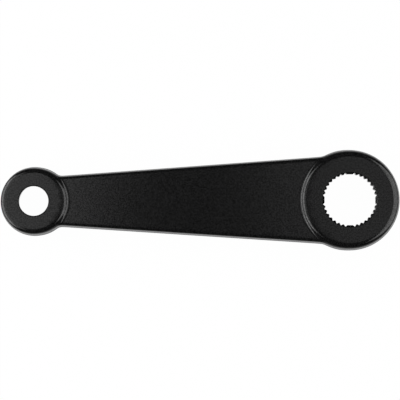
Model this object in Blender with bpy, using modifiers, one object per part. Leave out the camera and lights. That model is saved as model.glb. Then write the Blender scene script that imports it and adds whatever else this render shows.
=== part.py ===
"""Pitman arm: a one-piece drop-forged steel steering arm, in metres, +Z up.

The forging is a coarse cage under Subdivision Surface: each eye is a stack of rings, and a tapered
shank is extruded from the open side of one eye to the other. Both die halves have draft, and meet at a
sharp parting line at mid height. The large eye is broached with a tapered serration that leaves four
blind positions, and the small eye is reamed to the taper of a ball stud. X runs from the ball-stud eye
to the splined eye, Y across the arm, and the arm lies on its two lower eye faces at z = 0, with the
origin under the middle of its length.
"""

import math
from collections import namedtuple

import bmesh
import bpy
from mathutils import Matrix, Vector

# Forging
CENTRE_DISTANCE = 0.1825
EYE_THICKNESS = 0.024
SHANK_THICKNESS = 0.0205
SHANK_EDGE_RADIUS = 0.0017
NECK_FILL = 0.0005
RAMP_TOP_RUN = 0.002
RAMP_TOP_DROP = 0.00008
STUD_EYE_DIAMETER = 0.0400
STUD_SHOULDER_WIDTH = 0.0036
STUD_RAMP_LENGTH = 0.0034
STUD_NECK_STEP = 0.0053
SPLINE_EYE_DIAMETER = 0.0582
SPLINE_SHOULDER_WIDTH = 0.0041
SPLINE_RAMP_LENGTH = 0.0038
SPLINE_NECK_STEP = 0.0037
DRAFT_ANGLE = math.radians(4)

# Splined bore, measured at the upper face, which is its small end
SPLINE_POSITIONS = 36
SPLINE_BLIND_EVERY = 9
SPLINE_TIP_DIAMETER = 0.0293
SPLINE_TOOTH_DEPTH = 0.00095
SPLINE_TAPER_RATIO = 1 / 16
GROOVE_SHARE_AT_TIP = 0.78
GROOVE_SHARE_AT_ROOT = 0.14
SPLINE_CHAMFER = 0.0004

# Ball-stud bore, measured at the upper face, which is its small end
STUD_BORE_DIAMETER = 0.0170
STUD_TAPER_RATIO = 1 / 8
STUD_CHAMFER = 0.0006

# Cage. The ramp's foot is drawn by its vertices' places between the middle of the shank and its edge.
RING_SEGMENTS = 16
RAMP_FOOT_SHARES = (0.0, 0.45, 0.84, 1.0)
NECK_STEP_SHARE = 0.6
CORNER_INSET_SHARE = 0.10
WALL_HEIGHT_SHARE = 0.4
SHANK_SHARES = (0.012, 0.04, 0.96, 0.988)
SUBDIVISION_LEVELS = 2
SHARP_ANGLE = math.radians(35)
WELD_DISTANCE = 1e-6

# Cutters. A round one is turned a little, so that none of its edges lies along one of the forging's.
BORE_SEGMENTS = 72
CUTTER_OVERRUN = 0.003
CUTTER_TURN_ANGLE = math.radians(1.2)

PAINT_COLOUR = (0.020, 0.020, 0.021, 1.0)
PAINT_ROUGHNESS = 0.45

MID_HEIGHT = EYE_THICKNESS / 2
OVERALL_LENGTH = CENTRE_DISTANCE + (STUD_EYE_DIAMETER + SPLINE_EYE_DIAMETER) / 2
STUD_AXIS_X = (STUD_EYE_DIAMETER - OVERALL_LENGTH) / 2
SPLINE_AXIS_X = (OVERALL_LENGTH - SPLINE_EYE_DIAMETER) / 2

# On either side of its middle, the shank takes this many segments of each ring.
OPEN_SEGMENTS = len(RAMP_FOOT_SHARES) - 1

# The rings of an eye, from its lower face to its upper, are counted from the parting line.
FACE, SHOULDER, BROW, WALL, PARTING = 4, 3, 2, 1, 0

Eye = namedtuple("Eye", "axis_x facing radius face_radius ramp shank_half_width")

STUD_EYE = Eye(
    axis_x=STUD_AXIS_X,
    facing=1,
    radius=STUD_EYE_DIAMETER / 2,
    face_radius=STUD_EYE_DIAMETER / 2 - STUD_SHOULDER_WIDTH,
    ramp=STUD_RAMP_LENGTH,
    shank_half_width=STUD_EYE_DIAMETER / 2 - STUD_NECK_STEP,
)
SPLINE_EYE = Eye(
    axis_x=SPLINE_AXIS_X,
    facing=-1,
    radius=SPLINE_EYE_DIAMETER / 2,
    face_radius=SPLINE_EYE_DIAMETER / 2 - SPLINE_SHOULDER_WIDTH,
    ramp=SPLINE_RAMP_LENGTH,
    shank_half_width=SPLINE_EYE_DIAMETER / 2 - SPLINE_NECK_STEP,
)


def clear_scene():
    for obj in list(bpy.data.objects):
        bpy.data.objects.remove(obj)


def new_collection(name, hidden=False):
    collection = bpy.data.collections.new(name)
    collection.hide_render = hidden
    bpy.context.scene.collection.children.link(collection)
    return collection


def new_object(name, bm, collection):
    """Turns a bmesh into an object of its own."""
    bmesh.ops.recalc_face_normals(bm, faces=bm.faces)
    mesh = bpy.data.meshes.new(name)
    bm.to_mesh(mesh)
    bm.free()
    obj = bpy.data.objects.new(name, mesh)
    collection.objects.link(obj)
    return obj


def painted_steel():
    material = bpy.data.materials.new("satin_black_paint")
    material.use_nodes = True
    shader = material.node_tree.nodes["Principled BSDF"]
    shader.inputs["Base Color"].default_value = PAINT_COLOUR
    shader.inputs["Roughness"].default_value = PAINT_ROUGHNESS
    shader.inputs["Metallic"].default_value = 0.0
    return material


def side_reach(radius, offset):
    """How far along X a circle of this radius still reaches at this distance from its middle line."""
    return math.sqrt(max(radius**2 - offset**2, 0.0))


def corner_angle(eye):
    """Where the shank's side line leaves the eye, seen from the eye's axis."""
    return math.atan2(eye.shank_half_width, side_reach(eye.radius, eye.shank_half_width))


def plan_point(eye, radius, angle, height):
    """A point round an eye: angle zero faces the other eye, and height is counted from the parting line."""
    return Vector(
        (
            eye.axis_x + eye.facing * radius * math.cos(angle),
            radius * math.sin(angle),
            MID_HEIGHT + height,
        )
    )


def draft_inset(height):
    return abs(height) * math.tan(DRAFT_ANGLE)


def edge_radius(eye):
    """The fillet between an eye's machined face and its wall takes all the width there is."""
    return eye.radius - draft_inset(MID_HEIGHT) - eye.face_radius


def ring_radius_and_height(eye, level):
    """The eye's section on the side away from the shank: flat face, fillet, and a wall with draft."""
    rise = math.copysign(1, level)
    if abs(level) == FACE:
        return eye.face_radius, rise * MID_HEIGHT
    if abs(level) == SHOULDER:
        inset = edge_radius(eye) * CORNER_INSET_SHARE
        return eye.radius - draft_inset(MID_HEIGHT) - inset, rise * (MID_HEIGHT - inset)
    if abs(level) == BROW:
        height = MID_HEIGHT - edge_radius(eye)
    elif abs(level) == WALL:
        height = MID_HEIGHT * WALL_HEIGHT_SHARE
    else:
        height = 0.0
    return eye.radius - draft_inset(height), rise * height


def opening_point(eye, level, place):
    """The eye's open side, which the shank continues: its ramp's foot, and its two side edges."""
    side = math.copysign(1, place)
    half = SHANK_THICKNESS / 2
    if abs(level) == BROW:
        foot = eye.face_radius + eye.ramp
        width = eye.shank_half_width - draft_inset(half) - SHANK_EDGE_RADIUS * CORNER_INSET_SHARE
        edge = math.atan2(width, side_reach(foot, width))
        return plan_point(eye, foot, side * edge * RAMP_FOOT_SHARES[abs(place)], math.copysign(half, level))
    height = 0.0
    if abs(level) == WALL:
        height = math.copysign(half - SHANK_EDGE_RADIUS, level)
    corner = plan_point(eye, eye.radius, side * corner_angle(eye), height)
    corner.y = side * (eye.shank_half_width - draft_inset(height))
    return corner


def neck_point(eye, level, place):
    """The eye's own ring stands out a little at the neck, so that the fillet there is full."""
    point = opening_point(eye, level, place)
    if abs(place) == OPEN_SEGMENTS:
        point.y += math.copysign(NECK_FILL, place)
    return point


def is_opening(level, place):
    return abs(level) <= BROW and abs(place) <= OPEN_SEGMENTS


def step_and_angle(eye, level, place):
    """A face's vertices lie evenly round it. The other rings' crowd a little towards the neck."""
    if abs(level) == FACE:
        step = math.tau / RING_SEGMENTS
        return step, step * place
    corner = corner_angle(eye)
    if abs(place) <= OPEN_SEGMENTS:
        step = corner / OPEN_SEGMENTS
        return step, step * place
    steps_behind = RING_SEGMENTS // 2 - OPEN_SEGMENTS - 1 + NECK_STEP_SHARE
    step = (math.pi - corner) / steps_behind
    steps_from_corner = abs(place) - OPEN_SEGMENTS - 1 + NECK_STEP_SHARE
    return step, math.copysign(corner + step * steps_from_corner, place)


def cage_point(eye, level, place):
    """Where a vertex goes. Subdivision pulls a ring inwards, so each is made that much larger."""
    if is_opening(level, place):
        return neck_point(eye, level, place)
    radius, height = ring_radius_and_height(eye, level)
    if abs(level) == SHOULDER and abs(place) <= OPEN_SEGMENTS:
        radius = eye.face_radius + RAMP_TOP_RUN
        height = math.copysign(MID_HEIGHT - RAMP_TOP_DROP, level)
    step, angle = step_and_angle(eye, level, place)
    fullness = 3 / (2 + math.cos(step))
    return plan_point(eye, radius * fullness, angle, height)


def turn_of(vert):
    return math.atan2(vert.co.y, vert.co.x)


def extrude_rim(bm, rim):
    """Extrudes an open rim. The new vertices start on the old ones, and carry the same level and place."""
    made = bmesh.ops.extrude_edge_only(bm, edges=rim)["geom"]
    moved = {v for v in made if isinstance(v, bmesh.types.BMVert)}
    return moved, [e for e in made if isinstance(e, bmesh.types.BMEdge) and set(e.verts) <= moved]


def add_eye(bm, eye, level_of, place_of):
    """Raises an eye ring by ring, opens it towards the shank, and gives back the open rim's edges."""
    quarter_back = Matrix.Rotation(-math.pi / 2, 4, "Z")
    made = bmesh.ops.create_circle(
        bm, cap_ends=True, segments=RING_SEGMENTS, radius=eye.radius, matrix=quarter_back
    )
    verts = set(made["verts"])
    for vert in verts:
        vert[level_of] = -FACE
        vert[place_of] = round(turn_of(vert) * RING_SEGMENTS / math.tau)
    rim = [e for e in bm.edges if set(e.verts) <= verts]
    for level in range(1 - FACE, FACE + 1):
        raised, rim = extrude_rim(bm, rim)
        verts |= raised
        for vert in raised:
            vert[level_of] = level
    bmesh.ops.edgeloop_fill(bm, edges=rim)
    opened = [
        face
        for face in bm.faces
        if all(v in verts and is_opening(v[level_of], v[place_of]) for v in face.verts)
    ]
    bmesh.ops.delete(bm, geom=opened, context="FACES")
    verts = {v for v in verts if v.is_valid}
    for vert in verts:
        vert.co = cage_point(eye, vert[level_of], vert[place_of])
    return [e for e in bm.edges if e.is_boundary and set(e.verts) <= verts]


def add_shank(bm, rim, level_of, place_of):
    """Extrudes the small eye's open rim along the shank as far as the large eye's, and welds the two."""
    for share in SHANK_SHARES:
        moved, rim = extrude_rim(bm, rim)
        for vert in moved:
            start = opening_point(STUD_EYE, vert[level_of], vert[place_of])
            end = opening_point(SPLINE_EYE, vert[level_of], vert[place_of])
            vert.co = start.lerp(end, share)
    for vert in extrude_rim(bm, rim)[0]:
        vert.co = neck_point(SPLINE_EYE, vert[level_of], vert[place_of])
    bmesh.ops.remove_doubles(bm, verts=bm.verts, dist=WELD_DISTANCE)


def crease_sharp_lines(bm, level_of):
    """The parting line and the rims of the machined faces stay sharp under subdivision."""
    crease = bm.edges.layers.float.new("crease_edge")
    for edge in bm.edges:
        levels = {v[level_of] for v in edge.verts}
        if levels in ({PARTING}, {FACE}, {-FACE}):
            edge[crease] = 1.0


def forge_arm(collection):
    bm = bmesh.new()
    level_of = bm.verts.layers.int.new("level")
    place_of = bm.verts.layers.int.new("place")
    add_eye(bm, SPLINE_EYE, level_of, place_of)
    stud_rim = add_eye(bm, STUD_EYE, level_of, place_of)
    add_shank(bm, stud_rim, level_of, place_of)
    crease_sharp_lines(bm, level_of)
    arm = new_object("pitman_arm", bm, collection)
    surface = arm.modifiers.new("forged_surface", "SUBSURF")
    surface.levels = SUBDIVISION_LEVELS
    surface.render_levels = SUBDIVISION_LEVELS
    return arm


def add_cutter(name, bm, collection):
    cutter = new_object(name, bm, collection)
    cutter.hide_render = True
    cutter.display_type = "WIRE"
    return cutter


def add_cone(bm, axis_x, bottom, top):
    """A frustum on a bore's axis. Bottom and top are each a radius and a height."""
    centre = Matrix.Translation((axis_x, 0, (top[1] + bottom[1]) / 2))
    bmesh.ops.create_cone(
        bm,
        cap_ends=True,
        segments=BORE_SEGMENTS,
        radius1=bottom[0],
        radius2=top[0],
        depth=top[1] - bottom[1],
        matrix=centre @ Matrix.Rotation(CUTTER_TURN_ANGLE, 4, "Z"),
    )


def add_chamfers(name, axis_x, low_radius, high_radius, collection):
    """A 45 degree lead-in at each face. Each radius is the chamfer's own, where it meets the face."""
    run = CUTTER_OVERRUN
    high = EYE_THICKNESS
    bm = bmesh.new()
    add_cone(bm, axis_x, (low_radius + run, -run), (low_radius - run, run))
    add_cone(bm, axis_x, (high_radius - run, high - run), (high_radius + run, high + run))
    return add_cutter(name, bm, collection)


def serration_outline():
    """Angle and share of the tooth depth, once round. A blind position keeps its land, with no groove."""
    pitch = math.tau / SPLINE_POSITIONS
    for position in range(SPLINE_POSITIONS):
        depth = 0 if position % SPLINE_BLIND_EVERY == 0 else 1
        middle = pitch * position
        yield middle - pitch * GROOVE_SHARE_AT_TIP / 2, 0
        yield middle - pitch * GROOVE_SHARE_AT_ROOT / 2, depth
        yield middle + pitch * GROOVE_SHARE_AT_ROOT / 2, depth
        yield middle + pitch * GROOVE_SHARE_AT_TIP / 2, 0
        yield middle + pitch / 2, 0


def serration_radius(depth_share, height):
    tip = SPLINE_TIP_DIAMETER / 2 + (EYE_THICKNESS - height) * SPLINE_TAPER_RATIO / 2
    return tip + depth_share * SPLINE_TOOTH_DEPTH


def add_broach(collection):
    """The serration is one outline, extruded through the eye and narrowed along the taper."""
    outline = list(serration_outline())
    low, high = -CUTTER_OVERRUN, EYE_THICKNESS + CUTTER_OVERRUN
    bm = bmesh.new()
    tip_radius = SPLINE_TIP_DIAMETER / 2
    made = bmesh.ops.create_circle(bm, cap_ends=True, segments=len(outline), radius=tip_radius)
    base = sorted(made["verts"], key=turn_of)
    extruded = bmesh.ops.extrude_face_region(bm, geom=bm.faces[:])["geom"]
    raised = {v for v in extruded if isinstance(v, bmesh.types.BMVert)}
    for vert, (angle, depth_share) in zip(base, outline):
        above = next(e.other_vert(vert) for e in vert.link_edges if e.other_vert(vert) in raised)
        for point, height in ((vert, low), (above, high)):
            radius = serration_radius(depth_share, height)
            point.co = (SPLINE_AXIS_X + radius * math.cos(angle), radius * math.sin(angle), height)
    return add_cutter("serration_broach", bm, collection)


def add_reamer(collection):
    """The ball stud's taper, run past both faces."""
    low, high = -CUTTER_OVERRUN, EYE_THICKNESS + CUTTER_OVERRUN
    low_radius = STUD_BORE_DIAMETER / 2 + (EYE_THICKNESS - low) * STUD_TAPER_RATIO / 2
    high_radius = STUD_BORE_DIAMETER / 2 + (EYE_THICKNESS - high) * STUD_TAPER_RATIO / 2
    bm = bmesh.new()
    add_cone(bm, STUD_AXIS_X, (low_radius, low), (high_radius, high))
    return add_cutter("stud_reamer", bm, collection)


def cut(target, cutter):
    boolean = target.modifiers.new(cutter.name, "BOOLEAN")
    boolean.operation = "DIFFERENCE"
    boolean.solver = "EXACT"
    boolean.object = cutter


def machine_bores(arm, collection):
    spline_root = SPLINE_CHAMFER + SPLINE_TOOTH_DEPTH
    stud_radius = STUD_BORE_DIAMETER / 2
    cut(arm, add_broach(collection))
    cut(
        arm,
        add_chamfers(
            "spline_chamfers",
            SPLINE_AXIS_X,
            serration_radius(0, 0) + spline_root,
            serration_radius(0, EYE_THICKNESS) + spline_root,
            collection,
        ),
    )
    cut(arm, add_reamer(collection))
    cut(
        arm,
        add_chamfers(
            "stud_chamfers",
            STUD_AXIS_X,
            stud_radius + EYE_THICKNESS * STUD_TAPER_RATIO / 2 + STUD_CHAMFER,
            stud_radius + STUD_CHAMFER,
            collection,
        ),
    )


def main():
    clear_scene()
    parts = new_collection("pitman_arm")
    cutters = new_collection("cutters", hidden=True)
    arm = forge_arm(parts)
    arm.data.materials.append(painted_steel())
    arm.data.shade_smooth()
    arm.data.set_sharp_from_angle(angle=SHARP_ANGLE)
    machine_bores(arm, cutters)


main()
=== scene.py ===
# %% [markdown]
# # A pitman arm, forged in one piece
#
# This arm sits under a vehicle. Its large eye is splined to the steering gear's output shaft, and
# its small eye holds the tapered stud of the drag link's ball joint. It is one drop forging: a
# red-hot bar is pressed between two dies, the flash is trimmed off, the eye faces and bores are
# machined, and all of it is painted.
#
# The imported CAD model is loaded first. It says where the arm is and how large it may be, and the
# detailed arm below takes the place of its one node.

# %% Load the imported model
import math

import bmesh
import bpy
from mathutils import Matrix, Vector


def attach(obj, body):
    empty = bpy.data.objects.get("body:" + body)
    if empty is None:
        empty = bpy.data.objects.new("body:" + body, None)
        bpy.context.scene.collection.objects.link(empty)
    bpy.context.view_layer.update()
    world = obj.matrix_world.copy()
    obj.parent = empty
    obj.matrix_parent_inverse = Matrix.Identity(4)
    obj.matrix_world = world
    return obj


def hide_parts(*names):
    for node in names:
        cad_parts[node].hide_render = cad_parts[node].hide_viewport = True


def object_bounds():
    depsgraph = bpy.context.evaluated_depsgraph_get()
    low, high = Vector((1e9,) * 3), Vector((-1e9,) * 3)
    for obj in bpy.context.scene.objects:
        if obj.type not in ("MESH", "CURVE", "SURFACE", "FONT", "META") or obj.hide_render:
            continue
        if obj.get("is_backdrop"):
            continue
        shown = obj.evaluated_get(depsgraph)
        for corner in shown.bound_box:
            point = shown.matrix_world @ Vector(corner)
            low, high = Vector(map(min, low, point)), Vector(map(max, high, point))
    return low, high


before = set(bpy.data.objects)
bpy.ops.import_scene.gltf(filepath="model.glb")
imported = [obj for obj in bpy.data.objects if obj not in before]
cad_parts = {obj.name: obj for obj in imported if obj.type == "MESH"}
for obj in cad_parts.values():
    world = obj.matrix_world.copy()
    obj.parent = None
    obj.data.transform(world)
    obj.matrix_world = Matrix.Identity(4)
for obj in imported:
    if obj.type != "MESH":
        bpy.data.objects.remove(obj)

MM = 0.001
CAD_NODE = "pitman_arm"
cad_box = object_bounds()


def in_mm(lengths, digits=2):
    """Lengths in metres as rounded millimetres, for the printed lines."""
    return tuple(round(length / MM, digits) for length in lengths)


print("CAD node", CAD_NODE, "spans", [in_mm(corner) for corner in cad_box], "mm")

# %% [markdown]
# ## The sizes that drive the forging
#
# A designer draws a forging from few numbers: where the two bores are, how thick the eyes and the
# shank are, how wide each part is at the parting line where the dies meet, and the draft that lets
# it out of the dies. Every point could be given by hand, but worked out from these numbers one
# change carries through the whole arm. X runs from the small eye to the large one, Y across the
# arm and Z up, and the arm lies on its two lower eye faces.

# %% Sizes of the forging
CENTRE_DISTANCE = 182.5 * MM
EYE_THICKNESS = 24 * MM
SHANK_THICKNESS = 20.5 * MM
SHANK_EDGE_RADIUS = 1.7 * MM
DRAFT_ANGLE = math.radians(4)
STUD_EYE_RADIUS = 20.0 * MM
SPLINE_EYE_RADIUS = 29.1 * MM
MID_HEIGHT = EYE_THICKNESS / 2
OVERALL_LENGTH = CENTRE_DISTANCE + STUD_EYE_RADIUS + SPLINE_EYE_RADIUS
STUD_AXIS_X = STUD_EYE_RADIUS - OVERALL_LENGTH / 2
SPLINE_AXIS_X = OVERALL_LENGTH / 2 - SPLINE_EYE_RADIUS

# The trimmed flash stands this far out of the walls, inside the overall size.
FLASH_PROUD = 0.10 * MM


def eye_sizes(axis_x, facing, radius, shoulder, ramp, neck_inset):
    """Facing is the other eye's direction along X. The walls leave room for the flash."""
    return {
        "axis_x": axis_x,
        "facing": facing,
        "radius": radius - FLASH_PROUD,
        "face_radius": radius - shoulder,
        "ramp": ramp,
        "half_width": radius - neck_inset - FLASH_PROUD,
    }


STUD_EYE = eye_sizes(STUD_AXIS_X, 1, STUD_EYE_RADIUS,
                     shoulder=3.6 * MM, ramp=3.4 * MM, neck_inset=5.3 * MM)
SPLINE_EYE = eye_sizes(SPLINE_AXIS_X, -1, SPLINE_EYE_RADIUS,
                       shoulder=4.1 * MM, ramp=3.8 * MM, neck_inset=3.7 * MM)
print("overall length and the two axes' x:",
      in_mm((OVERALL_LENGTH, STUD_AXIS_X, SPLINE_AXIS_X), 3), "mm")

# %% [markdown]
# ## The camera
#
# The arm is seen from nearly two metres above it, from a point a little towards the large eye and
# towards the near edge. A short lens close by would fill the frame as well, but it would look at
# the walls much more from the side. At this distance the walls of the near edge just show, and
# the eyes' rims lie a pixel beside their bores. So the lens is long, and the camera has no shift.

# %% Camera
CAMERA_POSITION = Vector((28.87 * MM, -46.14 * MM, 1812 * MM))
CAMERA_TARGET = Vector((0.06 * MM, 0.48 * MM, MID_HEIGHT))
CAMERA_ROLL = math.radians(-0.215)
CAMERA_LENS = 279.35
CAMERA_CLIP_END = 20.0


def make_camera():
    camera = bpy.data.objects.new("studio_camera", bpy.data.cameras.new("studio_camera"))
    bpy.context.scene.collection.objects.link(camera)
    camera.data.type = "PERSP"
    camera.data.lens = CAMERA_LENS
    camera.data.clip_end = CAMERA_CLIP_END
    back = (CAMERA_POSITION - CAMERA_TARGET).normalized()
    right = Vector((0, 1, 0)).cross(back).normalized()
    aim = Matrix((right, back.cross(right), back)).transposed().to_4x4()
    roll = Matrix.Rotation(CAMERA_ROLL, 4, "Z")
    camera.matrix_world = Matrix.Translation(CAMERA_POSITION) @ aim @ roll
    return camera


bpy.context.scene.camera = make_camera()
bpy.context.scene.view_settings.view_transform = "Standard"
print("camera", round(CAMERA_POSITION.z, 3), "m up, lens", CAMERA_LENS, "mm")

# %% [markdown]
# ## Light
#
# Black paint shows its shape by what it mirrors. One large lamp overhead would make the arm an
# even grey. Instead a softbox stands left and right of it, so the shoulders and ramps that face
# them pick up a bright line, and a weaker one higher on the left softens the small eye's edge.
# Nothing stands in front of or behind the arm, so the shoulders that face those ways stay dark.
# The flat faces mirror the ceiling. Two panels there, the left one twice as bright as the right,
# make the small eye the lightest part, and the gap between them leaves the middle of the shank
# nearly black.

# %% Softboxes
# Name, position in metres, size along Y and across that, and brightness.
SOFTBOXES = (
    ("left", (-0.75, 0.0, 0.453), (1.3, 0.79), 3.2),
    ("left_high", (-0.52, 0.0, 0.98), (1.2, 0.45), 1.0),
    ("right", (0.695, 0.0, 0.565), (1.0, 1.12), 2.1),
    ("ceiling_left", (-0.315, 0.05, 1.9), (0.4, 0.3), 0.85),
    ("ceiling_right", (0.205, 0.05, 1.9), (0.4, 0.3), 0.40),
)


def add_softbox(name, position, size, brightness):
    """An area light aimed at the arm. In a mirror it looks this bright, where white paper is 1."""
    light = bpy.data.lights.new(name, "AREA")
    light.shape = "RECTANGLE"
    light.size, light.size_y = size
    light.energy = brightness * math.pi * size[0] * size[1]
    lamp = bpy.data.objects.new(name, light)
    lamp.visible_camera = False
    bpy.context.scene.collection.objects.link(lamp)
    towards_arm = Vector((0, 0, MID_HEIGHT)) - Vector(position)
    turn = towards_arm.to_track_quat("-Z", "Y").to_matrix().to_4x4()
    lamp.matrix_world = Matrix.Translation(position) @ turn
    print("softbox", name, size, "m,", round(light.energy, 2), "W")


for row in SOFTBOXES:
    add_softbox(*row)

# %% [markdown]
# ## World
#
# Past the edge of the floor the camera sees the studio's white wall. A white world would show it,
# but it would also light the arm from all round and turn the black paint grey. So the world is
# two things, and Light Path chooses: plain white for a ray that comes from the camera, and the
# dark grey of a dim room for every other ray.

# %% World: white for the camera, and a dark room for the arm
ROOM_GREY = 0.08
WHITE = (1, 1, 1, 1)

# A Mix node has a set of sockets for each kind of data, so they are known by their numbers.
MIX_FACTOR = 0
MIX_VECTOR_A, MIX_VECTOR_B, MIX_VECTOR_OUT = 4, 5, 1
MIX_COLOUR_A, MIX_COLOUR_B, MIX_COLOUR_OUT = 6, 7, 2


def add_node(tree, kind, label, **settings):
    node = tree.nodes.new(kind)
    node.label = label
    for name, value in settings.items():
        setattr(node, name, value)
    return node


def link(tree, source, output, target, socket):
    """Links two nodes. A socket is a name or a number, and number 0 is a node's first."""
    tree.links.new(source.outputs[output], target.inputs[socket])


def make_world():
    world = bpy.data.worlds.new("studio_world")
    bpy.context.scene.world = world
    world.use_nodes = True
    tree = world.node_tree
    path = add_node(tree, "ShaderNodeLightPath", "who looks")
    shown = add_node(tree, "ShaderNodeMix", "dark room, or white", data_type="RGBA")
    shown.inputs[MIX_COLOUR_A].default_value = (ROOM_GREY, ROOM_GREY, ROOM_GREY, 1)
    shown.inputs[MIX_COLOUR_B].default_value = WHITE
    link(tree, path, "Is Camera Ray", shown, MIX_FACTOR)
    link(tree, shown, MIX_COLOUR_OUT, tree.nodes["Background"], "Color")
    print("world made:", len(tree.nodes), "nodes, the room's grey is", ROOM_GREY)


make_world()

# %% [markdown]
# ## Floor
#
# The floor is white paper. A brighter lamp would whiten it, but would light the arm as well. So
# nearly all of its white is a plain white of strength 1, which Light Path mixes in for rays from
# the camera, from a mirroring surface or through glass. The rest is real paper, which keeps the
# arm's soft shadow. What the arm mirrors is the paper right beside it, in its own shade, so a
# mirrored ray finds less than half of that white. From below, the floor lets the camera through.

# %% Paper for the floor
PAPER_GREY = 0.86
PAPER_ROUGHNESS = 0.9
MIRRORED_WHITE = 0.4
PLAIN_SHARE = 0.985


def maths(tree, label, operation, first, second=None):
    """A Math node. Each operand is a number, or a (node, output) pair."""
    node = add_node(tree, "ShaderNodeMath", label, operation=operation)
    for place, value in enumerate((first, second)):
        if isinstance(value, tuple):
            link(tree, *value, node, place)
        elif value is not None:
            node.inputs[place].default_value = value
    return node


def add_plain_white(tree, path):
    """The white that is plain, and how much of it each kind of ray sees."""
    white = add_node(tree, "ShaderNodeEmission", "plain white")
    shade = maths(tree, "shade beside the arm", "MULTIPLY",
                  (path, "Is Glossy Ray"), 1 - MIRRORED_WHITE)
    strength = maths(tree, "strength", "SUBTRACT", 1.0, (shade, 0))
    link(tree, strength, 0, white, "Strength")
    seen = maths(tree, "camera or glossy", "MAXIMUM",
                 (path, "Is Camera Ray"), (path, "Is Glossy Ray"))
    shown = maths(tree, "or transmission", "MAXIMUM", (seen, 0), (path, "Is Transmission Ray"))
    return white, maths(tree, "share of plain white", "MULTIPLY", (shown, 0), PLAIN_SHARE)


def make_floor_material():
    material = bpy.data.materials.new("white_paper")
    material.use_nodes = True
    tree = material.node_tree
    paper = tree.nodes["Principled BSDF"]
    paper.inputs["Base Color"].default_value = (PAPER_GREY, PAPER_GREY, PAPER_GREY, 1)
    paper.inputs["Roughness"].default_value = PAPER_ROUGHNESS
    path = add_node(tree, "ShaderNodeLightPath", "who looks")
    white, share = add_plain_white(tree, path)
    above = add_node(tree, "ShaderNodeMixShader", "paper and plain white")
    facing = add_node(tree, "ShaderNodeNewGeometry", "side")
    clear = add_node(tree, "ShaderNodeBsdfTransparent", "clear from below")
    sides = add_node(tree, "ShaderNodeMixShader", "above and below")
    for factor, output, first, second, mix in (
            (share, 0, paper, white, above), (facing, "Backfacing", above, clear, sides)):
        link(tree, factor, output, mix, 0)
        link(tree, first, 0, mix, 1)
        link(tree, second, 0, mix, 2)
    link(tree, sides, 0, tree.nodes["Material Output"], "Surface")
    print("material", material.name, "with", len(tree.nodes), "nodes")
    return material


white_paper = make_floor_material()

# %% Floor, a hair below the arm
FLOOR_RADIUS = 6.0
FLOOR_SEGMENTS = 64
FLOOR_GAP = 0.05 * MM


def make_floor():
    bm = bmesh.new()
    bmesh.ops.create_circle(bm, cap_ends=True, segments=FLOOR_SEGMENTS, radius=FLOOR_RADIUS)
    bmesh.ops.translate(bm, verts=bm.verts, vec=(0, 0, -FLOOR_GAP))
    mesh = bpy.data.meshes.new("studio_floor")
    bm.to_mesh(mesh)
    bm.free()
    floor = bpy.data.objects.new("studio_floor", mesh)
    bpy.context.scene.collection.objects.link(floor)
    floor.data.materials.append(white_paper)
    floor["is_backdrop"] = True
    print("floor normal", tuple(round(v, 2) for v in mesh.polygons[0].normal))


make_floor()

# %% [markdown]
# ## The forging as a coarse cage
#
# On the real arm the eyes are short drums with rounded shoulders, and the shank runs into both
# with a ramp. One way is to join three solids and round every join with bevels, which fails where
# the shank leaves a round eye at a shallow angle. Here a coarse cage is drawn instead, and
# Subdivision Surface makes it flow: each eye is a stack of rings raised by extruding one rim, the
# side towards the other eye is opened, and the shank is extruded from one opening to the other.
#
# First comes the eye's section: its flat face, a fillet at the shoulder, and a wall with draft.

# %% The section of an eye
# Levels count the rings up from the parting line. Below it they are negative.
FACE, SHOULDER, BROW, WALL, PARTING = 4, 3, 2, 1, 0
# A fillet's corner vertex is drawn in by this share of its radius.
CORNER_INSET = 0.10
# The wall's own ring lies at this share of half the thickness.
WALL_RING_SHARE = 0.4


def draft_inset(height):
    return abs(height) * math.tan(DRAFT_ANGLE)


def eye_edge_radius(eye):
    return eye["radius"] - draft_inset(MID_HEIGHT) - eye["face_radius"]


def ring_radius_and_height(eye, level):
    """The section on the side away from the shank, in heights from the parting line."""
    rise = math.copysign(1, level)
    if abs(level) == FACE:
        return eye["face_radius"], rise * MID_HEIGHT
    if abs(level) == SHOULDER:
        inset = eye_edge_radius(eye) * CORNER_INSET
        return eye["radius"] - draft_inset(MID_HEIGHT) - inset, rise * (MID_HEIGHT - inset)
    heights = {BROW: MID_HEIGHT - eye_edge_radius(eye), WALL: MID_HEIGHT * WALL_RING_SHARE,
               PARTING: 0.0}
    height = heights[abs(level)]
    return eye["radius"] - draft_inset(height), rise * height


print("section of the small eye, radius and height:",
      [in_mm(ring_radius_and_height(STUD_EYE, level))
       for level in (FACE, SHOULDER, BROW, WALL, PARTING)])

# %% [markdown]
# ## Where the shank meets an eye
#
# The die is cut so that metal flows from the shank into the eye: a ramp climbs to the eye's face,
# and at each side a neck swings into the eye's round wall. The eye's open side could be trimmed
# to the shank by a cut, but then the two would meet in a hard edge. So the opening's own vertices
# are set on the ramp's foot and on the shank's side edges, and the shank starts from them.

# %% Points of the opening
# Steps of the opening, from its middle line to either side edge.
OPEN_SEGMENTS = 3
# Where the vertices of the ramp's foot lie on that way.
FOOT_SHARES = (0.0, 0.45, 0.84, 1.0)
NECK_FILL = 0.5 * MM


def side_reach(radius, offset):
    """How far along X a circle still reaches at this distance from its middle line."""
    return math.sqrt(max(radius**2 - offset**2, 0.0))


def plan_point(eye, radius, angle, height):
    """A point round an eye. Angle zero faces the other eye."""
    x = eye["axis_x"] + eye["facing"] * radius * math.cos(angle)
    return Vector((x, radius * math.sin(angle), MID_HEIGHT + height))


def corner_angle(eye):
    return math.atan2(eye["half_width"], side_reach(eye["radius"], eye["half_width"]))


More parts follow.
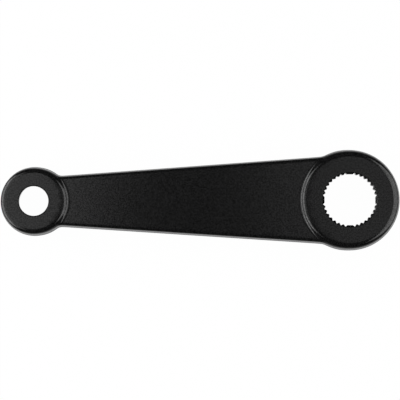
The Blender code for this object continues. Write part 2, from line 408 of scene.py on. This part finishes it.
def opening_point(eye, level, place):
    """The eye's open side, which the shank continues: its ramp's foot, and its two side edges."""
    side = math.copysign(1, place)
    half = SHANK_THICKNESS / 2
    if abs(level) == BROW:
        foot = eye["face_radius"] + eye["ramp"]
        width = eye["half_width"] - draft_inset(half) - SHANK_EDGE_RADIUS * CORNER_INSET
        edge = math.atan2(width, side_reach(foot, width))
        angle = side * edge * FOOT_SHARES[abs(place)]
        return plan_point(eye, foot, angle, math.copysign(half, level))
    height = math.copysign(half - SHANK_EDGE_RADIUS, level) if level else 0.0
    corner = plan_point(eye, eye["radius"], side * corner_angle(eye), height)
    corner.y = side * (eye["half_width"] - draft_inset(height))
    return corner


def neck_point(eye, level, place):
    """The eye's own ring stands out a little where the neck is, so that its fillet is full."""
    point = opening_point(eye, level, place)
    if abs(place) == OPEN_SEGMENTS:
        point.y += math.copysign(NECK_FILL, place)
    return point


print("the shank leaves the eyes at", round(math.degrees(corner_angle(STUD_EYE)), 1), "and",
      round(math.degrees(corner_angle(SPLINE_EYE)), 1), "degrees")

# %% Points of the rings
RING_SEGMENTS = 16
# The first step past the neck is this share of the others.
NECK_STEP_SHARE = 0.6
# On the open side the shoulder's ring is the top of the ramp, this far out and down.
RAMP_TOP_RUN = 2.0 * MM
RAMP_TOP_DROP = 0.08 * MM


def is_opening(level, place):
    return abs(level) <= BROW and abs(place) <= OPEN_SEGMENTS


def ring_point(eye, radius, angle, step, height):
    """Subdivision draws a ring of vertices inwards, so the ring is made that much larger."""
    return plan_point(eye, radius * 3 / (2 + math.cos(step)), angle, height)


def cage_point(eye, level, place):
    """Where a vertex goes. Its place counts the ring's steps from the side of the other eye."""
    if is_opening(level, place):
        return neck_point(eye, level, place)
    radius, height = ring_radius_and_height(eye, level)
    if abs(level) == FACE:
        step = math.tau / RING_SEGMENTS
        return ring_point(eye, radius, step * place, step, height)
    corner = corner_angle(eye)
    if abs(place) <= OPEN_SEGMENTS:
        step = corner / OPEN_SEGMENTS
        ramp_top = math.copysign(MID_HEIGHT - RAMP_TOP_DROP, level)
        return ring_point(eye, eye["face_radius"] + RAMP_TOP_RUN, step * place, step, ramp_top)
    step = (math.pi - corner) / (RING_SEGMENTS / 2 - OPEN_SEGMENTS - 1 + NECK_STEP_SHARE)
    past_corner = step * (abs(place) - OPEN_SEGMENTS - 1 + NECK_STEP_SHARE)
    return ring_point(eye, radius, math.copysign(corner + past_corner, place), step, height)


print("outermost vertices of the cage at x =",
      in_mm(cage_point(eye, PARTING, RING_SEGMENTS // 2).x for eye in (STUD_EYE, SPLINE_EYE)),
      "mm")

# %% [markdown]
# ## Raise the eyes and draw out the shank
#
# A smith draws out a bar between two lumps, and the cage grows the same way. Each eye starts as
# one circle whose rim is extruded ring by ring. The vertices carry two numbers, their level and
# their place on the ring, and every position is worked out from those. A list of positions would
# do too, but then no size could be changed later.


# %% Raise the two eyes
def extrude_rim(bm, rim):
    """Extrudes the rim's edges, and gives back the new vertices and the new rim."""
    made = bmesh.ops.extrude_edge_only(bm, edges=rim)["geom"]
    moved = {v for v in made if isinstance(v, bmesh.types.BMVert)}
    return moved, [e for e in made if isinstance(e, bmesh.types.BMEdge) and set(e.verts) <= moved]


def raise_rings(bm, eye, level_of, place_of):
    """One circle at the lower face, extruded up to the upper face and closed there."""
    made = bmesh.ops.create_circle(bm, cap_ends=True, segments=RING_SEGMENTS,
                                   radius=eye["radius"],
                                   matrix=Matrix.Rotation(-math.pi / 2, 4, "Z"))
    verts = set(made["verts"])
    for vert in verts:
        vert[level_of] = -FACE
        vert[place_of] = round(math.atan2(vert.co.y, vert.co.x) * RING_SEGMENTS / math.tau)
    rim = [e for e in bm.edges if set(e.verts) <= verts]
    for level in range(1 - FACE, FACE + 1):
        raised, rim = extrude_rim(bm, rim)
        verts |= raised
        for vert in raised:
            vert[level_of] = level
    bmesh.ops.edgeloop_fill(bm, edges=rim)
    return verts


def add_eye(bm, eye, level_of, place_of):
    """Raises an eye, opens it towards the shank, and gives back the open rim's edges."""
    verts = raise_rings(bm, eye, level_of, place_of)
    opened = [f for f in bm.faces
              if all(v in verts and is_opening(v[level_of], v[place_of]) for v in f.verts)]
    bmesh.ops.delete(bm, geom=opened, context="FACES")
    verts = {v for v in verts if v.is_valid}
    for vert in verts:
        vert.co = cage_point(eye, vert[level_of], vert[place_of])
    return [e for e in bm.edges if e.is_boundary and set(e.verts) <= verts]


cage = bmesh.new()
level_of = cage.verts.layers.int.new("level")
place_of = cage.verts.layers.int.new("place")
add_eye(cage, SPLINE_EYE, level_of, place_of)
stud_rim = add_eye(cage, STUD_EYE, level_of, place_of)
print("two eyes:", len(cage.faces), "faces, open rim of", len(stud_rim), "edges")

# %% Extrude the shank between them
# Two steps lie close to each eye, so that the ramps and necks end there.
SHANK_SHARES = (0.012, 0.04, 0.96, 0.988)
WELD_DISTANCE = 0.001 * MM

for share in SHANK_SHARES:
    moved, stud_rim = extrude_rim(cage, stud_rim)
    for vert in moved:
        start = opening_point(STUD_EYE, vert[level_of], vert[place_of])
        end = opening_point(SPLINE_EYE, vert[level_of], vert[place_of])
        vert.co = start.lerp(end, share)
moved, stud_rim = extrude_rim(cage, stud_rim)
for vert in moved:
    vert.co = neck_point(SPLINE_EYE, vert[level_of], vert[place_of])
bmesh.ops.remove_doubles(cage, verts=cage.verts, dist=WELD_DISTANCE)
print("cage:", len(cage.faces), "faces, open edges:", sum(e.is_boundary for e in cage.edges))

# %% Crease what stays sharp: the parting line and the faces' rims
crease = cage.edges.layers.float.new("crease_edge")
for edge in cage.edges:
    if {v[level_of] for v in edge.verts} in ({PARTING}, {FACE}, {-FACE}):
        edge[crease] = 1.0
bmesh.ops.recalc_face_normals(cage, faces=cage.faces)
print("creased edges:", sum(edge[crease] == 1.0 for edge in cage.edges))

# %% [markdown]
# ## From cage to forging
#
# The machined faces need a crisp rim and the parting line a trimmed land. More loops in the cage
# could give them, but so close together they would pinch the smooth shoulders. So the subdivision
# is applied first, and after it the mesh is worked on like metal.

# %% Apply the subdivision
SUBDIVISION_LEVELS = 3


def object_from(bm, name):
    mesh = bpy.data.meshes.new(name)
    bm.to_mesh(mesh)
    bm.free()
    made = bpy.data.objects.new(name, mesh)
    bpy.context.scene.collection.objects.link(made)
    return made


def apply_modifiers(obj):
    """Puts the evaluated mesh in the place of the object's own, and drops its modifiers."""
    graph = bpy.context.evaluated_depsgraph_get()
    done = bpy.data.meshes.new_from_object(obj.evaluated_get(graph))
    obj.modifiers.clear()
    obj.data = done
    done.name = obj.name


arm = object_from(cage, "forged_arm")
surface = arm.modifiers.new("forged surface", "SUBSURF")
surface.levels = surface.render_levels = SUBDIVISION_LEVELS
apply_modifiers(arm)
print("forging:", len(arm.data.polygons), "faces")

# %% [markdown]
# ## Machined rims
#
# A cutter leaves the rim of an eye's face sharp, and paint rounds it to about a quarter of a
# millimetre. A Bevel modifier would pick its edges by angle, and would take others too. Here the
# edges are picked by what they are, those between a flat face at the very top or bottom and the
# shoulder. Where the ramp meets the face almost in line, the rim stays as it is.

# %% Soften the machined rims
RIM_BEVEL = 0.25 * MM
RIM_SEGMENTS = 3
RIM_ANGLE = math.radians(4)
ROUND_PROFILE = 0.5
FLAT = 0.9999
FACE_TOLERANCE = 0.01 * MM


def is_machined(face):
    from_middle = abs(face.calc_center_median().z - MID_HEIGHT)
    return abs(face.normal.z) > FLAT and abs(from_middle - MID_HEIGHT) < FACE_TOLERANCE


def is_rim(edge):
    return (len(edge.link_faces) == 2 and sum(map(is_machined, edge.link_faces)) == 1
            and edge.calc_face_angle() > RIM_ANGLE)


body = bmesh.new()
body.from_mesh(arm.data)
body.normal_update()
rims = [e for e in body.edges if is_rim(e)]
bmesh.ops.bevel(body, geom=rims, affect="EDGES", offset=RIM_BEVEL, offset_type="OFFSET",
                segments=RIM_SEGMENTS, profile=ROUND_PROFILE, material=-1, clamp_overlap=True)
print("bevelled", len(rims), "rim edges")

# %% [markdown]
# ## Trimmed flash
#
# Where the dies meet, a fin of metal is squeezed out. The trimming tool shears it off and leaves
# a narrow land that stands not quite a tenth of a millimetre proud. A strip could be laid round
# the arm, but it would be a second piece. So the wall itself is cut above and below the parting
# line, and the band between the cuts is inset and pushed out.

# %% Raise the trimmed flash
FLASH_HALF_HEIGHT = 0.8 * MM
FLASH_SLOPE = 0.12 * MM
# A little less than the room left for it, because a corner is pushed out further than a wall.
FLASH_RISE = 0.85 * FLASH_PROUD
ON_PLANE = 1e-7

for side in (1, -1):
    whole = body.verts[:] + body.edges[:] + body.faces[:]
    height = MID_HEIGHT + side * FLASH_HALF_HEIGHT
    bmesh.ops.bisect_plane(body, geom=whole, dist=ON_PLANE, plane_co=(0, 0, height),
                           plane_no=(0, 0, 1))
land = [f for f in body.faces
        if abs(f.calc_center_median().z - MID_HEIGHT) < FLASH_HALF_HEIGHT]
bmesh.ops.inset_region(body, faces=land, use_boundary=True, use_even_offset=True,
                       thickness=FLASH_SLOPE, depth=FLASH_RISE)
body.to_mesh(arm.data)
body.free()
print("flash land of", len(land), "faces, box",
      [in_mm(corner, 3) for corner in (arm.bound_box[0], arm.bound_box[6])], "mm")

# %% [markdown]
# ## The serrated bore
#
# The output shaft of the steering gear is tapered and serrated, and a nut pulls this eye up it
# until it grips. There are 36 positions, and four of them are left blind, a quarter turn apart,
# so that the arm goes on the shaft in four ways only. The grooves could be cut one by one, but a
# broach cuts them all in one stroke, and so does this tool: one outline with all its grooves is
# extruded through the eye, its edges along the bore are rounded a little, as wear on the broach
# rounds them, and its upper end is drawn in for the taper.

# %% The outline of the serration
SPLINE_POSITIONS = 36
SPLINE_BLIND_EVERY = 9
SPLINE_TIP_RADIUS = 14.65 * MM
SPLINE_TOOTH_DEPTH = 0.95 * MM
SPLINE_TAPER_RATIO = 1 / 16
GROOVE_SHARE_AT_TIP = 0.78
GROOVE_SHARE_AT_ROOT = 0.14


def serration_outline():
    """Angle and share of the tooth depth, once round. A blind position has no groove."""
    pitch = math.tau / SPLINE_POSITIONS
    for position in range(SPLINE_POSITIONS):
        depth = 0 if position % SPLINE_BLIND_EVERY == 0 else 1
        middle = pitch * position
        yield middle - pitch * GROOVE_SHARE_AT_TIP / 2, 0
        yield middle - pitch * GROOVE_SHARE_AT_ROOT / 2, depth
        yield middle + pitch * GROOVE_SHARE_AT_ROOT / 2, depth
        yield middle + pitch * GROOVE_SHARE_AT_TIP / 2, 0
        yield middle + pitch / 2, 0


def serration_radius(depth_share, height):
    tip = SPLINE_TIP_RADIUS + (EYE_THICKNESS - height) * SPLINE_TAPER_RATIO / 2
    return tip + depth_share * SPLINE_TOOTH_DEPTH


print("tips and roots, lower face:", in_mm(serration_radius(share, 0) * 2 for share in (0, 1)),
      "mm, upper face:", in_mm(serration_radius(share, EYE_THICKNESS) * 2 for share in (0, 1)),
      "mm")

# %% Make the broach
SERRATION_ROUND = 0.1 * MM
SERRATION_SEGMENTS = 2
SERRATION_CORNER = math.radians(8)
CUTTER_OVERRUN = 3 * MM
CUT_LOW, CUT_HIGH = -CUTTER_OVERRUN, EYE_THICKNESS + CUTTER_OVERRUN


def make_broach():
    outline = list(serration_outline())
    bm = bmesh.new()
    made = bmesh.ops.create_circle(bm, cap_ends=True, segments=len(outline),
                                   radius=SPLINE_TIP_RADIUS)
    base = sorted(made["verts"], key=lambda v: math.atan2(v.co.y, v.co.x))
    extruded = bmesh.ops.extrude_face_region(bm, geom=bm.faces[:])["geom"]
    raised = {v for v in extruded if isinstance(v, bmesh.types.BMVert)}
    along = []
    for vert, (angle, depth_share) in zip(base, outline):
        edge = next(e for e in vert.link_edges if e.other_vert(vert) in raised)
        along.append(edge)
        for point, height in ((vert, CUT_LOW), (edge.other_vert(vert), CUT_HIGH)):
            radius = serration_radius(depth_share, height)
            x = SPLINE_AXIS_X + radius * math.cos(angle)
            point.co = (x, radius * math.sin(angle), height)
    bmesh.ops.recalc_face_normals(bm, faces=bm.faces)
    corners = [e for e in along if e.calc_face_angle(0) > SERRATION_CORNER]
    bmesh.ops.bevel(bm, geom=corners, affect="EDGES", offset=SERRATION_ROUND,
                    offset_type="OFFSET", segments=SERRATION_SEGMENTS, profile=ROUND_PROFILE,
                    material=-1, clamp_overlap=True)
    print("broach:", len(corners), "rounded edges,", len(bm.faces), "faces")
    return object_from(bm, "serration_broach")


broach = make_broach()

# %% [markdown]
# ## The ball-stud bore, and the chamfers
#
# The small eye is reamed to the stud's taper. Its bore and chamfers could be three cones, cut one
# after the other. Reamer and countersinks are turned tools, though, so each is a profile spun
# about the bore's axis: the tool for the small eye is one profile with both chamfers, and the
# large eye gets two countersinks that just clear the roots of its grooves.

# %% A turned tool
CORNER_ROUND = 0.12 * MM
CORNER_SEGMENTS = 3
TURNED_STEPS = 144
# A small turn keeps the tool's edges off those of the arm, where a cut would leave slivers.
TOOL_TURN = math.radians(1.1)


def spin_tool(name, axis_x, profile, rounded=()):
    """Spins (radius, height) points about a bore's axis, with the rounded ones' corners eased."""
    bm = bmesh.new()
    points = [bm.verts.new((radius, 0, height)) for radius, height in profile]
    for pair in zip(points, points[1:]):
        bm.edges.new(pair)
    if rounded:
        bmesh.ops.bevel(bm, geom=[points[place] for place in rounded], affect="VERTICES",
                        offset=CORNER_ROUND, offset_type="OFFSET", segments=CORNER_SEGMENTS,
                        profile=ROUND_PROFILE, material=-1)
    bmesh.ops.spin(bm, geom=bm.verts[:] + bm.edges[:], axis=(0, 0, 1), cent=(0, 0, 0),
                   steps=TURNED_STEPS, angle=math.tau, use_merge=True)
    bmesh.ops.remove_doubles(bm, verts=bm.verts, dist=WELD_DISTANCE)
    bmesh.ops.rotate(bm, verts=bm.verts, cent=(0, 0, 0),
                     matrix=Matrix.Rotation(TOOL_TURN, 3, "Z"))
    bmesh.ops.translate(bm, verts=bm.verts, vec=(axis_x, 0, 0))
    bmesh.ops.recalc_face_normals(bm, faces=bm.faces)
    print(name, len(bm.faces), "faces, open edges:", sum(e.is_boundary for e in bm.edges))
    return object_from(bm, name)


# %% Reamer for the small eye
STUD_BORE_RADIUS = 8.5 * MM
STUD_TAPER_RATIO = 1 / 8
STUD_CHAMFER = 0.6 * MM


def stud_radius(height):
    return STUD_BORE_RADIUS + (EYE_THICKNESS - height) * STUD_TAPER_RATIO / 2


low_mouth = stud_radius(0) + STUD_CHAMFER
high_mouth = stud_radius(EYE_THICKNESS) + STUD_CHAMFER
low_corner = STUD_CHAMFER + stud_radius(0) - stud_radius(STUD_CHAMFER)
high_corner = EYE_THICKNESS - STUD_CHAMFER
reamer = spin_tool("stud_reamer", STUD_AXIS_X, [
    (0, CUT_LOW),
    (low_mouth + CUTTER_OVERRUN, CUT_LOW),
    (stud_radius(STUD_CHAMFER), low_corner),
    (stud_radius(high_corner), high_corner),
    (high_mouth + CUTTER_OVERRUN, CUT_HIGH),
    (0, CUT_HIGH),
], rounded=(2, 3))

# %% Countersinks for the large eye
SPLINE_CHAMFER = 0.4 * MM

root_clear = SPLINE_CHAMFER + SPLINE_TOOTH_DEPTH
low_root = serration_radius(0, 0) + root_clear
high_root = serration_radius(0, EYE_THICKNESS) + root_clear
countersinks = [
    spin_tool("lower_countersink", SPLINE_AXIS_X, [
        (0, CUT_LOW), (low_root + CUTTER_OVERRUN, CUT_LOW), (0, low_root)]),
    spin_tool("upper_countersink", SPLINE_AXIS_X, [
        (0, EYE_THICKNESS - high_root), (high_root + CUTTER_OVERRUN, CUT_HIGH), (0, CUT_HIGH)]),
]

# %% [markdown]
# ## Machining
#
# The bores are machined after forging, and a Boolean takes a tool's shape out of the mesh in the
# same way. They could be loops of the cage, but the 32 grooves would crowd its few smooth faces.
# The tools reach 3 mm past the eye at both ends, so that no two faces lie in one plane. After
# that the surface is shaded smooth, apart from its true corners.

# %% Machine the forging
CUBIC_CM = 1e-6
SMOOTH_ANGLE = math.radians(28)

tools = (broach, reamer, *countersinks)
for tool in tools:
    cut = arm.modifiers.new(tool.name, "BOOLEAN")
    cut.operation = "DIFFERENCE"
    cut.solver = "EXACT"
    cut.object = tool
apply_modifiers(arm)
for tool in tools:
    bpy.data.objects.remove(tool)
arm.data.shade_smooth()
arm.data.set_sharp_from_angle(angle=SMOOTH_ANGLE)

machined = bmesh.new()
machined.from_mesh(arm.data)
print("machined arm:", len(machined.faces), "faces, open edges:",
      sum(not e.is_manifold for e in machined.edges),
      "volume", round(machined.calc_volume() / CUBIC_CM, 2), "cm3")
machined.free()

# %% [markdown]
# ## Forged skin
#
# A forged skin is never flat: scale and the blasted die leave soft dimples a few millimetres
# across, with a finer grain on them. They could be displaced vertices, but at 0.8 mm that would
# take millions of faces. Noise as bump shows the same. The whole arm needs the grain, on its
# machined faces as on its skin, in its relief and in its gloss, so it is a shader group with
# three outputs, made once.

# %% Helpers for shader groups
NOISE_ROUGHNESS = 0.55


def new_group(name, inputs, outputs):
    """An empty shader group. An input is (name, kind, value) and an output (name, kind)."""
    group = bpy.data.node_groups.new(name, "ShaderNodeTree")
    for label, kind, value in inputs:
        socket = group.interface.new_socket(name=label, in_out="INPUT", socket_type=kind)
        if value is not None:
            socket.default_value = value
    for label, kind in outputs:
        group.interface.new_socket(name=label, in_out="OUTPUT", socket_type=kind)
    start, end = group.nodes.new("NodeGroupInput"), group.nodes.new("NodeGroupOutput")
    print("group", name, "takes", [socket.name for socket in start.outputs if socket.name],
          "and gives", [socket.name for socket in end.inputs if socket.name])
    return group, start, end


def add_noise(tree, label, source, scale, detail):
    node = add_node(tree, "ShaderNodeTexNoise", label)
    node.inputs["Scale"].default_value = scale
    node.inputs["Detail"].default_value = detail
    node.inputs["Roughness"].default_value = NOISE_ROUGHNESS
    link(tree, source, "Vector", node, "Vector")
    return node


# %% Group: forged grain
DIMPLES_PER_METRE, DIMPLE_DETAIL = 330, 2
GRAINS_PER_METRE, GRAIN_DETAIL = 1250, 3


def make_grain_group():
    group, start, end = new_group(
        "forged_grain",
        [("Vector", "NodeSocketVector", None), ("Dimples", "NodeSocketFloat", 1.0),
         ("Grain", "NodeSocketFloat", 1.0)],
        [("Height", "NodeSocketFloat"), ("Mottle", "NodeSocketFloat"),
         ("Speckle", "NodeSocketFloat")],
    )
    dimples = add_noise(group, "dimples, 3 mm", start, DIMPLES_PER_METRE, DIMPLE_DETAIL)
    grain = add_noise(group, "grain, 0.8 mm", start, GRAINS_PER_METRE, GRAIN_DETAIL)
    soft = maths(group, "dimple height", "MULTIPLY", (dimples, "Fac"), (start, "Dimples"))
    fine = maths(group, "grain height", "MULTIPLY", (grain, "Fac"), (start, "Grain"))
    height = maths(group, "height", "ADD", (soft, 0), (fine, 0))
    mottle = maths(group, "mottle", "ADD", (dimples, "Fac"), (grain, "Fac"))
    mean = maths(group, "mean", "MULTIPLY", (mottle, 0), 0.5)
    link(group, height, 0, end, "Height")
    link(group, mean, 0, end, "Mottle")
    link(group, grain, "Fac", end, "Speckle")
    return group


forged_grain = make_grain_group()

# %% [markdown]
# ## Turned rings
#
# The cutter that faces an eye leaves fine rings about its bore, and the paint nearly fills them.
# Real grooves of this size would be far more faces than the arm has. So the group below counts
# turns from the axis outwards and puts out a wave, and a little noise makes the feed uneven.

# %% Group: turned rings
RING_PITCH = 0.4 * MM
DRIFTS_PER_METRE, DRIFT_DETAIL = 90, 1


def make_rings_group():
    group, start, end = new_group(
        "turned_rings",
        [("Vector", "NodeSocketVector", None), ("Axis", "NodeSocketVector", None),
         ("Pitch", "NodeSocketFloat", RING_PITCH)],
        [("Height", "NodeSocketFloat")],
    )
    flat = add_node(group, "ShaderNodeVectorMath", "drop height", operation="MULTIPLY")
    flat.inputs[1].default_value = (1, 1, 0)
    away = add_node(group, "ShaderNodeVectorMath", "distance from axis", operation="DISTANCE")
    link(group, start, "Vector", flat, 0)
    link(group, flat, 0, away, 0)
    link(group, start, "Axis", away, 1)
    turns = maths(group, "turns", "DIVIDE", (away, "Value"), (start, "Pitch"))
    drift = add_noise(group, "uneven feed", start, DRIFTS_PER_METRE, DRIFT_DETAIL)
    uneven = maths(group, "with drift", "ADD", (turns, 0), (drift, "Fac"))
    angle = maths(group, "angle", "MULTIPLY", (uneven, 0), math.tau)
    wave = maths(group, "wave", "SINE", (angle, 0))
    link(group, wave, 0, end, "Height")
    return group


turned_rings = make_rings_group()

# %% [markdown]
# ## Satin black paint
#
# The paint lies over the forged skin and over the machined faces, which are smoother and have
# the rings. The arm could have two materials, but then the paint would end at a line. One mask
# tells the faces by their height instead, and fades over less than a tenth of a millimetre.
#
# The paint is all but black, so its grain shows by gloss more than by colour: its clear top coat
# is a quarter to three quarters strong, speckle by speckle, and its roughness changes a little
# from place to place. All of it reads Object coordinates, so it stays on the arm in every view.

# %% Mask of the machined faces
# Heights from the parting line where the mask starts and where it is full.
FACE_BAND = (MID_HEIGHT - 0.12 * MM, MID_HEIGHT - 0.04 * MM)


def between(tree, label, value, span, result=(0.0, 1.0)):
    """A smooth step, from the first result below the span to the second above it."""
    node = add_node(tree, "ShaderNodeMapRange", label, interpolation_type="SMOOTHSTEP")
    link(tree, *value, node, "Value")
    node.inputs["From Min"].default_value, node.inputs["From Max"].default_value = span
    node.inputs["To Min"].default_value, node.inputs["To Max"].default_value = result
    return node


def add_face_mask(tree, parts):
    lift = maths(tree, "above the parting line", "SUBTRACT", (parts, "Z"), MID_HEIGHT)
    level = maths(tree, "distance from it", "ABSOLUTE", (lift, 0))
    return between(tree, "machined face", (level, 0), FACE_BAND)


print("the faces' mask starts and is full at", in_mm(FACE_BAND), "mm from the parting line")

# %% Relief of the paint
DIMPLE_RELIEF = 0.4
GRAIN_RELIEF = 0.4
FACE_GRAIN_SHARE = 0.6
RING_SHARE = 0.012
RELIEF_DEPTH = 0.08 * MM


def use_group(tree, group, place):
    node = add_node(tree, "ShaderNodeGroup", group.name)
    node.node_tree = group
    link(tree, place, "Object", node, "Vector")
    return node


def add_skin_height(tree, grain, faced):
    forged = maths(tree, "forged skin", "SUBTRACT", 1.0, (faced, "Result"))
    skin = maths(tree, "skin height", "MULTIPLY", (grain, "Height"), (forged, 0))
    least = maths(tree, "some grain on faces too", "MULTIPLY",
                  (grain, "Height"), FACE_GRAIN_SHARE)
    return maths(tree, "paint height", "MAXIMUM", (skin, 0), (least, 0))


def add_ring_height(tree, place, parts, faced):
    """Rings about the nearer bore's axis, on the machined faces only."""
    spline_side = maths(tree, "towards the large eye", "GREATER_THAN", (parts, "X"), 0.0)
    axis = add_node(tree, "ShaderNodeMix", "nearest bore's axis", data_type="VECTOR")
    axis.inputs[MIX_VECTOR_A].default_value = (STUD_AXIS_X, 0, 0)
    axis.inputs[MIX_VECTOR_B].default_value = (SPLINE_AXIS_X, 0, 0)
    link(tree, spline_side, 0, axis, MIX_FACTOR)
    rings = use_group(tree, turned_rings, place)
    link(tree, axis, MIX_VECTOR_OUT, rings, "Axis")
    relief = maths(tree, "ring relief", "MULTIPLY", (rings, "Height"), RING_SHARE)
    return maths(tree, "on faces only", "MULTIPLY", (relief, 0), (faced, "Result"))


print("relief", RELIEF_DEPTH / MM, "mm deep, the faces keep", FACE_GRAIN_SHARE, "of the grain")

# %% Colour and gloss of the paint
PAINT_BLACK = (0.0, 0.0, 0.0, 1)
SPECKLE_BLACK = (0.0050, 0.0050, 0.0052, 1)
SPECKLE_SPAN = (0.36, 0.64)
MOTTLE_SPAN = (0.3, 0.7)
ROUGHNESS_RANGE = (0.10, 0.16)
TOP_COAT_RANGE = (0.25, 0.75)
TOP_COAT_ROUGHNESS = 0.12
SPECULAR_LEVEL = 0.25


def add_colour_and_gloss(tree, grain, shader):
    tone = add_node(tree, "ShaderNodeMix", "paint tone", data_type="RGBA")
    tone.inputs[MIX_COLOUR_A].default_value = PAINT_BLACK
    tone.inputs[MIX_COLOUR_B].default_value = SPECKLE_BLACK
    speckle = between(tree, "speckle", (grain, "Speckle"), SPECKLE_SPAN)
    link(tree, speckle, "Result", tone, MIX_FACTOR)
    link(tree, tone, MIX_COLOUR_OUT, shader, "Base Color")
    satin = between(tree, "satin, patchy", (grain, "Mottle"), MOTTLE_SPAN, ROUGHNESS_RANGE)
    link(tree, satin, "Result", shader, "Roughness")
    coat = between(tree, "top coat, speckled", (grain, "Speckle"), SPECKLE_SPAN, TOP_COAT_RANGE)
    link(tree, coat, "Result", shader, "Coat Weight")
    shader.inputs["Coat Roughness"].default_value = TOP_COAT_ROUGHNESS
    shader.inputs["Specular IOR Level"].default_value = SPECULAR_LEVEL


print("paint's roughness", ROUGHNESS_RANGE, "and top coat", TOP_COAT_RANGE)


# %% Mix the paint and lay it on
def make_paint():
    material = bpy.data.materials.new("satin_black_paint")
    material.use_nodes = True
    tree = material.node_tree
    shader = tree.nodes["Principled BSDF"]
    place = add_node(tree, "ShaderNodeTexCoord", "place on the arm")
    parts = add_node(tree, "ShaderNodeSeparateXYZ", "x, y, z")
    link(tree, place, "Object", parts, "Vector")
    faced = add_face_mask(tree, parts)
    grain = use_group(tree, forged_grain, place)
    grain.inputs["Dimples"].default_value = DIMPLE_RELIEF
    grain.inputs["Grain"].default_value = GRAIN_RELIEF
    skin = add_skin_height(tree, grain, faced)
    rings = add_ring_height(tree, place, parts, faced)
    relief = maths(tree, "skin and rings", "ADD", (skin, 0), (rings, 0))
    bump = add_node(tree, "ShaderNodeBump", "relief")
    bump.inputs["Distance"].default_value = RELIEF_DEPTH
    bump.inputs["Strength"].default_value = 1.0
    link(tree, relief, 0, bump, "Height")
    link(tree, bump, "Normal", shader, "Normal")
    add_colour_and_gloss(tree, grain, shader)
    print("material", material.name, "with", len(tree.nodes), "nodes")
    return material


arm.data.materials.clear()
arm.data.materials.append(make_paint())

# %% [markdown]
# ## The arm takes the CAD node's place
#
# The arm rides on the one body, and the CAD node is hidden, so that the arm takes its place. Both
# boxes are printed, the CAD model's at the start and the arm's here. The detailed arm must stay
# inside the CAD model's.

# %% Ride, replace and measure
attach(arm, "root")
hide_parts(CAD_NODE)

visual_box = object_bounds()
print("visual box", [in_mm(corner, 3) for corner in visual_box], "mm")
